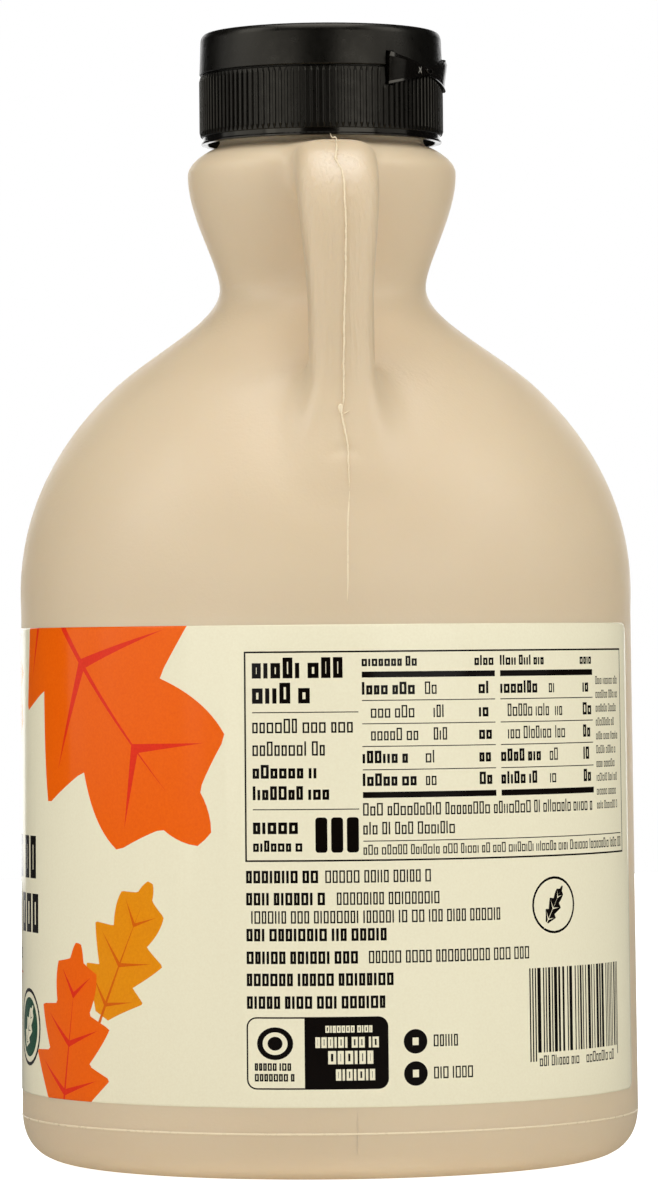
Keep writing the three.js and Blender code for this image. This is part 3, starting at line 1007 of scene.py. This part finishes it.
def separated(tree, vector):
    return feed(tree, add_node(tree, "ShaderNodeSeparateXYZ"), vector).outputs


def geometry(tree, kind, **inputs):
    return feed(tree, add_node(tree, kind), **inputs).outputs[0]


def rib_tree(material):
    """Stands one rib on each of Count points round a circle. Ribs under the hinge stop below its edge."""
    tree = bpy.data.node_groups.new("grip_ribs", "GeometryNodeTree")
    tree.interface.new_socket("Count", in_out="INPUT", socket_type="NodeSocketInt")
    for name in ("Radius", "Width", "Height", "Bottom", "Top", "Hinge Angle", "Hinge Spread", "Hinge Waist",
                 "Hinge End"):
        tree.interface.new_socket(name, in_out="INPUT", socket_type="NodeSocketFloat")
    tree.interface.new_socket("Geometry", in_out="OUTPUT", socket_type="NodeSocketGeometry")
    given = add_node(tree, "NodeGroupInput").outputs
    index = add_node(tree, "GeometryNodeInputIndex").outputs[0]
    turn = calc(tree, "DIVIDE", times(tree, index, 2 * math.pi), given["Count"])

    offset = calc(tree, "WRAP", calc(tree, "SUBTRACT", turn, given["Hinge Angle"]), math.pi, -math.pi)
    share = calc(tree, "DIVIDE", calc(tree, "ABSOLUTE", offset), given["Hinge Spread"])
    span = calc(tree, "SUBTRACT", given["Hinge End"], given["Hinge Waist"])
    under = calc(tree, "ADD", given["Hinge Waist"], times(tree, share, span))
    beyond = calc(tree, "GREATER_THAN", share, 1.0)
    top = calc(tree, "ADD", times(tree, beyond, given["Top"]),
               times(tree, calc(tree, "SUBTRACT", 1.0, beyond), under))
    height = calc(tree, "SUBTRACT", top, given["Bottom"])
    middle = times(tree, calc(tree, "ADD", top, given["Bottom"]), 0.5)

    across = times(tree, calc(tree, "SINE", turn), given["Radius"])
    ahead = times(tree, calc(tree, "COSINE", turn), given["Radius"], -1.0)
    points = geometry(
        tree, "GeometryNodePoints", Count=given["Count"], Position=combined(tree, across, ahead, middle))

    column = geometry(
        tree, "GeometryNodeMeshCylinder", Vertices=10, Side_Segments=14, Radius=1.0, Depth=2.0)
    x, y, z = separated(tree, add_node(tree, "GeometryNodeInputPosition").outputs[0])
    past = calc(tree, "SUBTRACT", calc(tree, "ABSOLUTE", z), 1.0 - RIB_END)
    bite = calc(tree, "POWER", calc(tree, "DIVIDE", calc(tree, "MAXIMUM", past, 0.0), RIB_END), 2.0)
    keep = calc(tree, "SQRT", calc(tree, "SUBTRACT", 1.0, times(tree, bite, RIB_END_BITE)))
    shaped = combined(tree, times(tree, x, keep), times(tree, y, keep), z)
    column = geometry(tree, "GeometryNodeSetPosition", Geometry=column, Position=shaped)

    size = combined(tree, times(tree, given["Width"], 0.5), given["Height"], times(tree, height, 0.5))
    ribs = geometry(
        tree, "GeometryNodeInstanceOnPoints", Points=points, Instance=column,
        Rotation=combined(tree, 0.0, 0.0, turn), Scale=size)
    ribs = geometry(tree, "GeometryNodeRealizeInstances", Geometry=ribs)
    ribs = geometry(tree, "GeometryNodeSetMaterial", Geometry=ribs, Material=material)
    feed(tree, add_node(tree, "NodeGroupOutput"), ribs)
    return tree


def make_ribs(material):
    ribs = new_object("closure_ribs", [], [])
    made = ribs.modifiers.new("ribs", "NODES")
    made.node_group = rib_tree(material)
    values = {
        "Count": RIBS, "Radius": SKIRT_R * MM, "Width": RIB_WIDTH * MM, "Height": RIB_HEIGHT * MM,
        "Bottom": (SKIRT_BOTTOM_Z + 0.12) * MM, "Top": (SHUT_LINE_Z - SHUT_LINE_HALF - 0.08) * MM,
        "Hinge Angle": math.radians(HINGE_ANGLE), "Hinge Spread": math.radians(HINGE_SPREAD + 2.0),
        "Hinge Waist": (HINGE_Z - 0.3) * MM, "Hinge End": (HINGE_Z - HINGE_END_HALF - 0.15) * MM,
    }
    for socket in made.node_group.interface.items_tree:
        if socket.name in values:
            made[socket.identifier] = values[socket.name]
    baked(ribs)
    return clean(ribs, 50)


# Materials

def new_material(name, color, roughness, **settings):
    """A Principled material with plain settings, its tree and its shader node."""
    material = bpy.data.materials.new(name)
    material.use_nodes = True
    tree = material.node_tree
    shader = tree.nodes["Principled BSDF"]
    feed(tree, shader, Base_Color=color, Roughness=roughness, **settings)
    return material, tree, shader


def noise(tree, scale, detail=2.0, stretch=(1, 1, 1)):
    """Noise on object coordinates. scale is in features a metre."""
    spot = add_node(tree, "ShaderNodeTexCoord").outputs["Object"]
    mapping = feed(tree, add_node(tree, "ShaderNodeMapping"), Vector=spot, Scale=stretch)
    texture = add_node(tree, "ShaderNodeTexNoise")
    feed(tree, texture, Vector=mapping.outputs[0], Scale=scale, Detail=detail)
    return texture.outputs["Fac"]


def ramp(tree, value, low, high, to_low, to_high, **settings):
    """Maps a value between low and high onto to_low to to_high."""
    node = add_node(tree, "ShaderNodeMapRange", **settings)
    feed(tree, node, Value=value, From_Min=low, From_Max=high, To_Min=to_low, To_Max=to_high)
    return node.outputs["Result"]


def spread(tree, value, low, high):
    """Maps a noise of about 0.3 to 0.7 onto low to high."""
    return ramp(tree, value, 0.3, 0.7, low, high)


def tinted(tree, factor, first, second):
    """A colour from first, which may be a socket, to second."""
    node = add_node(tree, "ShaderNodeMix", data_type="RGBA")
    return feed(tree, node, Factor=factor, A=first, B=second).outputs["Result"]


def bumped(tree, shader, layers):
    """Adds bump layers of (height socket, depth in metres) to a shader."""
    normal = None
    for height, depth in layers:
        bump = feed(tree, add_node(tree, "ShaderNodeBump"), Strength=1.0, Distance=depth, Height=height)
        if normal is not None:
            feed(tree, bump, Normal=normal)
        normal = bump.outputs["Normal"]
    feed(tree, shader, Normal=normal)


def zone(tree, axis, low, high):
    """0 below low and 1 above high along an axis of the object, in metres. Turned round if low > high."""
    along = separated(tree, add_node(tree, "ShaderNodeTexCoord").outputs["Object"])[axis]
    ends = (low, high, 0.0, 1.0) if low < high else (high, low, 1.0, 0.0)
    return ramp(tree, along, *ends, interpolation_type="SMOOTHSTEP")


def jug_plastic():
    """Beige blown polyethylene: soft sheen, a fine pebbled skin and slow, shallow unevenness of the wall.
    The handle's face has drag streaks and is painted a little darker as painted shade. It also has a glossier
    torn patch at the top, where the mould pinched it, painted paler as a painted highlight."""
    material, tree, shader = new_material(
        "jug_plastic", srgb(225, 203, 169), 0.4, IOR=1.5, Subsurface_Weight=0.2,
        Subsurface_Radius=(0.004, 0.0028, 0.0016), Subsurface_Scale=1.0)
    slow = noise(tree, 22, 2.0)
    handle = times(tree, zone(tree, 1, -0.029, -0.033), zone(tree, 2, 0.124, 0.136))
    dragged = times(tree, handle, zone(tree, 2, 0.1645, 0.159))
    across = times(tree, zone(tree, 0, -0.006, -0.0018), zone(tree, 0, 0.006, 0.0018))
    upright = times(tree, zone(tree, 2, 0.1585, 0.163), zone(tree, 2, 0.1668, 0.1632))
    torn_patch_and_glare = times(tree, zone(tree, 1, -0.0295, -0.032), across, upright)

    tint = tinted(tree, spread(tree, slow, 0, 1), srgb(223, 201, 167), srgb(228, 207, 173))
    # Painted shade: the handle's face is painted a little darker than the wall.
    tint = tinted(tree, handle, tint, srgb(219, 197, 163))
    # Painted highlight: the torn patch at the handle's top is painted paler for the broken glare there. Its
    # lower roughness and wrinkles are real.
    tint = tinted(tree, times(tree, torn_patch_and_glare, 0.75), tint, srgb(234, 216, 190))
    rough = spread(tree, noise(tree, 160, 4.0), 0.34, 0.44)
    rough = calc(tree, "SUBTRACT", rough, times(tree, torn_patch_and_glare, 0.14))
    feed(tree, shader, Base_Color=tint, Roughness=rough)

    streaks = times(tree, spread(tree, noise(tree, 1500, 3.0, (1, 1, 0.05)), -1, 1), dragged)
    torn = times(tree, spread(tree, noise(tree, 2000, 2.0, (1, 1, 0.3)), -1, 1), torn_patch_and_glare)
    bumped(tree, shader, [
        (slow, 0.0009), (noise(tree, 950, 3.0), 0.00003), (noise(tree, 2400, 2.0), 0.00002),
        (streaks, 0.00005), (torn, 0.00005),
    ])
    return material


def highlit_mould_line_plastic():
    """The same plastic where it stands up in flash and seams: a little glossier, and painted paler as a
    painted highlight along the thin raised lines.
    """
    material, tree, shader = new_material("highlit_mould_line_plastic", srgb(247, 230, 196), 0.3, IOR=1.5)
    grain = noise(tree, 900, 3.0)
    feed(tree, shader, Roughness=spread(tree, grain, 0.24, 0.36))
    bumped(tree, shader, [(grain, 0.00004)])
    return material


def print_ink(name, color, darker):
    """Label film under one ink: low gloss, the slight mottle of print and the waves of a stuck film."""
    material, tree, shader = new_material(name, color, 0.14, IOR=1.48, Specular_IOR_Level=0.2)
    mottle = noise(tree, 2600, 2.0)
    tint = tinted(tree, spread(tree, mottle, 0, 1), color, darker)
    feed(tree, shader, Base_Color=tint, Roughness=spread(tree, noise(tree, 300, 3.0), 0.12, 0.17))
    waves = noise(tree, 60, 2.0, (1, 1, 0.35))
    bumped(tree, shader, [(waves, 0.00015), (mottle, 0.000004)])
    return material


BLACK_SHEEN = (1.0, 0.93, 0.78, 1.0)


def closure_plastic():
    """Black moulded polypropylene: semi-gloss, with a very fine grain and faint flow marks."""
    material, tree, shader = new_material(
        "closure_plastic", srgb(6, 5, 3), 0.32, IOR=1.49, Specular_IOR_Level=0.4, Specular_Tint=BLACK_SHEEN)
    flow = noise(tree, 90, 3.0)
    tint = tinted(tree, spread(tree, flow, 0, 1), srgb(5, 4, 2), srgb(8, 7, 4))
    feed(tree, shader, Base_Color=tint, Roughness=spread(tree, noise(tree, 700, 4.0), 0.26, 0.36))
    bumped(tree, shader, [(noise(tree, 2600, 2.0), 0.000012)])
    return material


def polished_black():
    """The same black where the mould was polished, at the hinge and the bottom lip."""
    material, tree, shader = new_material(
        "polished_black", srgb(9, 7, 5), 0.15, IOR=1.49, Specular_Tint=BLACK_SHEEN)
    feed(tree, shader, Roughness=spread(tree, noise(tree, 500, 3.0), 0.1, 0.18))
    bumped(tree, shader, [(noise(tree, 300, 2.0), 0.00002)])
    return material


def glint_black():
    """Pale grey on the crossed ridges beside the hinge's waist: a painted glint."""
    material, tree, shader = new_material("glint_black", srgb(120, 117, 108), 0.3, IOR=1.49)
    grain = noise(tree, 4000, 2.0)
    tint = tinted(tree, spread(tree, grain, 0, 1), srgb(70, 68, 62), srgb(160, 156, 146))
    feed(tree, shader, Base_Color=tint, Roughness=spread(tree, grain, 0.24, 0.4))
    bumped(tree, shader, [(grain, 0.00001)])
    return material


# Pieces

def place(piece, materials, node=None):
    """Gives a piece its materials, hangs it on the root and hides the part of the frame that it stands for.
    """
    if not piece.data.materials:
        for material in materials:
            piece.data.materials.append(material)
    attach(piece, "root")
    if node:
        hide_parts(node)
    return piece


def build_jug():
    plastic, line = jug_plastic(), highlit_mould_line_plastic()
    rng = random.Random(3)
    body = make_jug_body()
    seams = [
        make_handle_flash(body, rng),
        make_tail_flash(body, rng),
        *make_flash_scrap(body),
        make_top_curl(),
        bead_on_skin("shoulder_seam_front", body, along_route(SEAM_ROUTE, 0.8, rng, 0.02), 0.13, 0.05),
        make_foot_line(),
    ]
    faint = [
        make_seam("seam_back", body, 0.0, np.arange(167.0, 89.5, -0.8), 1, 0.14, 0.08),
        make_seam("foot_seam_front", body, 0.35, np.arange(11.6, 4.0, -0.5), -1, 0.12, 0.06),
        make_seam("foot_seam_back", body, 0.0, np.arange(11.6, 4.0, -0.5), 1, 0.12, 0.06),
    ]
    place(body, [plastic], "jug")
    # The flash and the front seams get the plastic painted paler: a painted highlight along the raised lines.
    for seam in seams:
        place(seam, [line])
    for seam in faint:
        place(seam, [plastic])


def build_label():
    colours = {
        "stock": (srgb(249, 242, 211), srgb(246, 238, 206)),
        "orange": (srgb(251, 106, 6), srgb(246, 98, 3)),
        "red": (srgb(238, 52, 22), srgb(230, 46, 18)),
        "amber": (srgb(242, 152, 12), srgb(236, 142, 8)),
        "amber_vein": (srgb(226, 104, 8), srgb(218, 96, 5)),
        "ink": (srgb(15, 9, 5), srgb(11, 7, 4)),
        "green": (srgb(14, 78, 50), srgb(11, 70, 44)),
    }
    inks = [print_ink(f"print_{name}", *colours[name]) for name in INKS]
    place(make_label(), inks, "label")


def build_closure():
    plastic, polished = closure_plastic(), polished_black()
    lid = cut_hinge_slots(make_lid())
    skirt = cut_thumb_scallop(cut_hinge_slots(make_skirt()))
    for piece in (lid, skirt, make_ribs(plastic)):
        place(piece, [plastic], "closure")
    for piece in (make_lip(), make_hinge(), make_hinge_ring()):
        place(piece, [polished], "closure")
    # The crossed ridges are painted pale grey: a painted glint.
    glint_paint = glint_black()
    for piece in make_hinge_cross():
        place(piece, [glint_paint], "closure")


# Stage: a white floor, soft boxes and the camera

CAMERA_AZIMUTH = -4.4
CAMERA_DISTANCE = 1009.0
CAMERA_HEIGHT = 84.3
CAMERA_AIM_Z = 93.0
CAMERA_AIM_SIDE = 0.55
CAMERA_ROLL = -0.53
PHOTO_LONG_SIDE = 1200
PHOTO_MM_A_PIXEL = 0.167
WORLD_FILL = 0.02

# The floor glows in a ring close round the foot and again far out. Mirrored in the film, it stays dark.
FLOOR_REACH = 1250
FLOOR_NEAR_FADE, FLOOR_NEAR_GLOW = (0.046, 0.057), 0.4
FLOOR_FAR_RISE, FLOOR_FAR_GLOW = (0.1, 0.7), 0.37
FLOOR_SEEN_GLOW = 0.92
FLOOR_WHITE, FLOOR_MIRRORED = (0.9, 0.9, 0.9, 1), (0.15, 0.15, 0.15, 1)

# Soft boxes beside the camera, as (name, turn from the camera, glow). Under each low box is a strip that
# brightens the jug but isn't mirrored in it.
SIDE_BOX_DISTANCE = 950
LOW_BOXES = (
    ("left_low", -37, 1.33), ("left_side", -75, 0.51), ("right_low", 34, 1.79), ("right_side", 72, 0.53),
)
LOW_BOX_Z, LOW_BOX_SIZE = 265, (600, 370)
STRIP_Z, STRIP_SIZE, STRIP_SHARE = 40, (600, 80), 0.8
HIGH_BOXES = (("left_high", -75, 2.23), ("right_high", 72, 2.07))
HIGH_BOX_Z, HIGH_BOX_SIZE = 800, (600, 700)


def make_camera():
    camera = bpy.data.cameras.new("camera")
    camera.sensor_width = 36.0
    camera.lens = camera.sensor_width * CAMERA_DISTANCE / (PHOTO_MM_A_PIXEL * PHOTO_LONG_SIDE)
    camera.clip_start = 0.05
    obj = linked("camera", camera)
    eye = polar(CAMERA_DISTANCE, CAMERA_AZIMUTH, CAMERA_HEIGHT)
    aim = polar(CAMERA_AIM_SIDE, CAMERA_AZIMUTH + 90, CAMERA_AIM_Z)
    back = (eye - aim).normalized()
    obj.location = eye * MM
    obj.rotation_mode = "QUATERNION"
    obj.rotation_quaternion = Quaternion(back, math.radians(CAMERA_ROLL)) @ back.to_track_quat("Z", "Y")
    bpy.context.scene.camera = obj


def soft_box(name, azimuth, distance, height, size, glow, diffuse=True, glossy=True):
    """A flat light that faces the jug from an azimuth. glow is its brightness, where the backdrop's is 1.
    diffuse and glossy say which of the two kinds of reflection it shows in."""
    light = bpy.data.lights.new(name, "AREA")
    light.shape = "RECTANGLE"
    light.size, light.size_y = (side * MM for side in size)
    light.energy = math.pi * light.size * light.size_y * glow
    obj = linked(name, light)
    centre = polar(distance, azimuth, height)
    obj.location = centre * MM
    obj.rotation_mode = "QUATERNION"
    obj.rotation_quaternion = (centre - Vector((0, 0, 90))).to_track_quat("Z", "Y")
    obj.visible_camera = False
    obj.visible_diffuse = diffuse
    obj.visible_glossy = glossy


def make_floor():
    near, far = -FLOOR_REACH, FLOOR_REACH
    corners = [(near, near, 0), (far, near, 0), (far, far, 0), (near, far, 0)]
    floor = new_object("floor", corners, [(0, 1, 2, 3)], smooth=False)
    material, tree, shader = new_material("floor_white", FLOOR_WHITE, 0.8)
    away = add_node(tree, "ShaderNodeVectorMath", operation="LENGTH")
    feed(tree, away, add_node(tree, "ShaderNodeTexCoord").outputs["Object"])
    near_ring, far_floor = (*FLOOR_NEAR_FADE, FLOOR_NEAR_GLOW, 0.0), (*FLOOR_FAR_RISE, 0.0, FLOOR_FAR_GLOW)
    glows = [ramp(tree, away.outputs["Value"], *ends, interpolation_type="SMOOTHSTEP")
             for ends in (near_ring, far_floor)]
    ray = add_node(tree, "ShaderNodeLightPath").outputs
    seen = times(tree, ray["Is Camera Ray"], FLOOR_SEEN_GLOW)
    unmirrored = calc(tree, "SUBTRACT", 1.0, ray["Is Glossy Ray"])
    lit = times(tree, calc(tree, "ADD", *glows), unmirrored)
    feed(tree, shader, Emission_Color=(1, 1, 1, 1), Emission_Strength=calc(tree, "MAXIMUM", seen, lit),
         Base_Color=tinted(tree, ray["Is Glossy Ray"], FLOOR_WHITE, FLOOR_MIRRORED),
         Roughness=spread(tree, noise(tree, 8, 2.0), 0.78, 0.84))
    floor.data.materials.append(material)


def make_backdrop():
    """White to the camera, and nearly dark as a light."""
    world = bpy.data.worlds.new("studio")
    world.use_nodes = True
    tree = world.node_tree
    seen = add_node(tree, "ShaderNodeLightPath").outputs["Is Camera Ray"]
    strength = calc(tree, "MAXIMUM", seen, WORLD_FILL)
    feed(tree, tree.nodes["Background"], Color=(1, 1, 1, 1), Strength=strength)
    bpy.context.scene.world = world
    bpy.context.scene.view_settings.view_transform = "Standard"


def make_lights():
    ahead = CAMERA_AZIMUTH
    for name, turn, glow in LOW_BOXES:
        soft_box(f"{name}_box", ahead + turn, SIDE_BOX_DISTANCE, LOW_BOX_Z, LOW_BOX_SIZE, glow)
        soft_box(f"{name}_strip", ahead + turn, SIDE_BOX_DISTANCE, STRIP_Z, STRIP_SIZE, STRIP_SHARE * glow,
                 glossy=False)
    for name, turn, glow in HIGH_BOXES:
        soft_box(f"{name}_box", ahead + turn, SIDE_BOX_DISTANCE, HIGH_BOX_Z, HIGH_BOX_SIZE, glow)
    soft_box("top_box", ahead, 60, 1200, (1000, 800), 2.78)
    soft_box("top_front_box", ahead, 600, 1050, (1000, 500), 1.79)
    soft_box("left_sheen_box", ahead - 78, 940, 240, (1220, 400), 0.6, diffuse=False)
    soft_box("back_box", ahead + 180, 1300, 250, (1200, 700), 1.5)


make_camera()
build_jug()
build_label()
build_closure()
make_floor()
make_backdrop()
make_lights()
